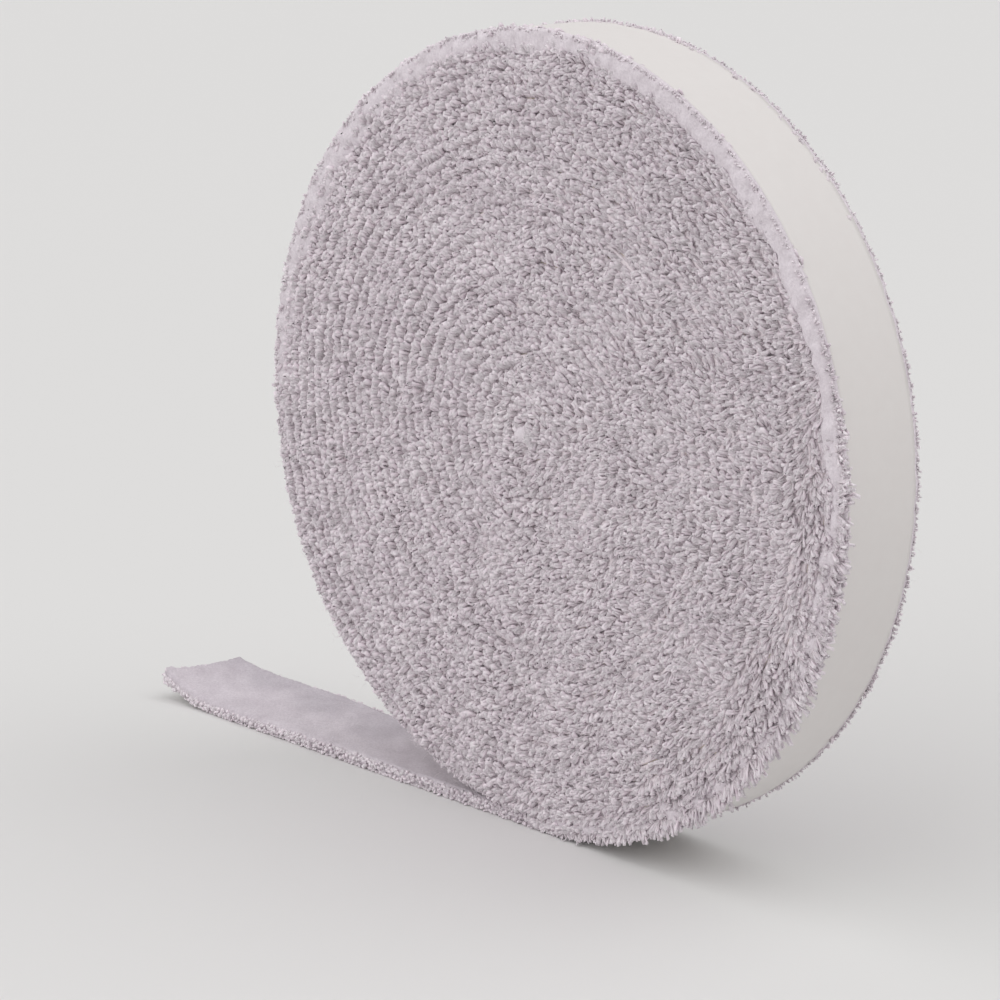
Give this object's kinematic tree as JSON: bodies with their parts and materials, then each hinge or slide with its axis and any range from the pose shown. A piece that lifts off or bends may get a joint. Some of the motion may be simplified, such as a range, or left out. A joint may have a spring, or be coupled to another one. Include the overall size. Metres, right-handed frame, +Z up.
{
  "type": "towel grip tape roll",
  "caption": "Coreless roll of towelling grip tape for racket handles, with an adhesive back, a paper release liner and its free end lying flat.",
  "frame": {"origin": "on the table below the roll's axis, where the strip meets the roll at the tangent line, halfway along the roll's width", "axes": "+Y along the roll's axis, -X along the free end, +Z up"},
  "size_m": [0.262, 0.026, 0.208],
  "materials": {
    "towelling": "soft terry loops, pale lilac white",
    "ground_cloth": "plain woven cotton, matte",
    "adhesive": "soft pressure-sensitive film, satin",
    "liner_paper": "siliconised paper, satin"
  },
  "bodies": {
    "wound_roll": {"wound_terry_pile": "towelling", "wound_ground_cloth": "ground_cloth", "wound_adhesive": "adhesive", "wound_release_liner": "liner_paper"},
    "near_section": {"near_terry_pile": "towelling", "near_ground_cloth": "ground_cloth", "near_adhesive": "adhesive", "near_release_liner": "liner_paper"},
    "middle_section": {"middle_terry_pile": "towelling", "middle_ground_cloth": "ground_cloth", "middle_adhesive": "adhesive", "middle_release_liner": "liner_paper"},
    "end_section": {"end_terry_pile": "towelling", "end_ground_cloth": "ground_cloth", "end_adhesive": "adhesive", "end_release_liner": "liner_paper"},
    "liner_tab": {"release_liner_tab": "liner_paper"}
  },
  "joints": [
    {"name": "near_curl", "type": "hinge", "parent": "wound_roll", "child": "near_section", "pos_m": [-0.024, 0, 0.0034], "axis": [0, 1, 0], "range_deg": [0, 20]},
    {"name": "middle_curl", "type": "hinge", "parent": "near_section", "child": "middle_section", "pos_m": [-0.068, 0, 0.0034], "axis": [0, 1, 0], "range_deg": [0, 24]},
    {"name": "end_curl", "type": "hinge", "parent": "middle_section", "child": "end_section", "pos_m": [-0.112, 0, 0.0034], "axis": [0, 1, 0], "range_deg": [0, 26]},
    {"name": "liner_peel", "type": "hinge", "parent": "end_section", "child": "liner_tab", "pos_m": [-0.136, 0, 0], "axis": [0, -1, 0], "range_deg": [0, 150]}
  ],
  "couplings": [
    {"joint": "middle_curl", "follows": "near_curl", "ratio": 1.2},
    {"joint": "end_curl", "follows": "near_curl", "ratio": 1.3}
  ]
}
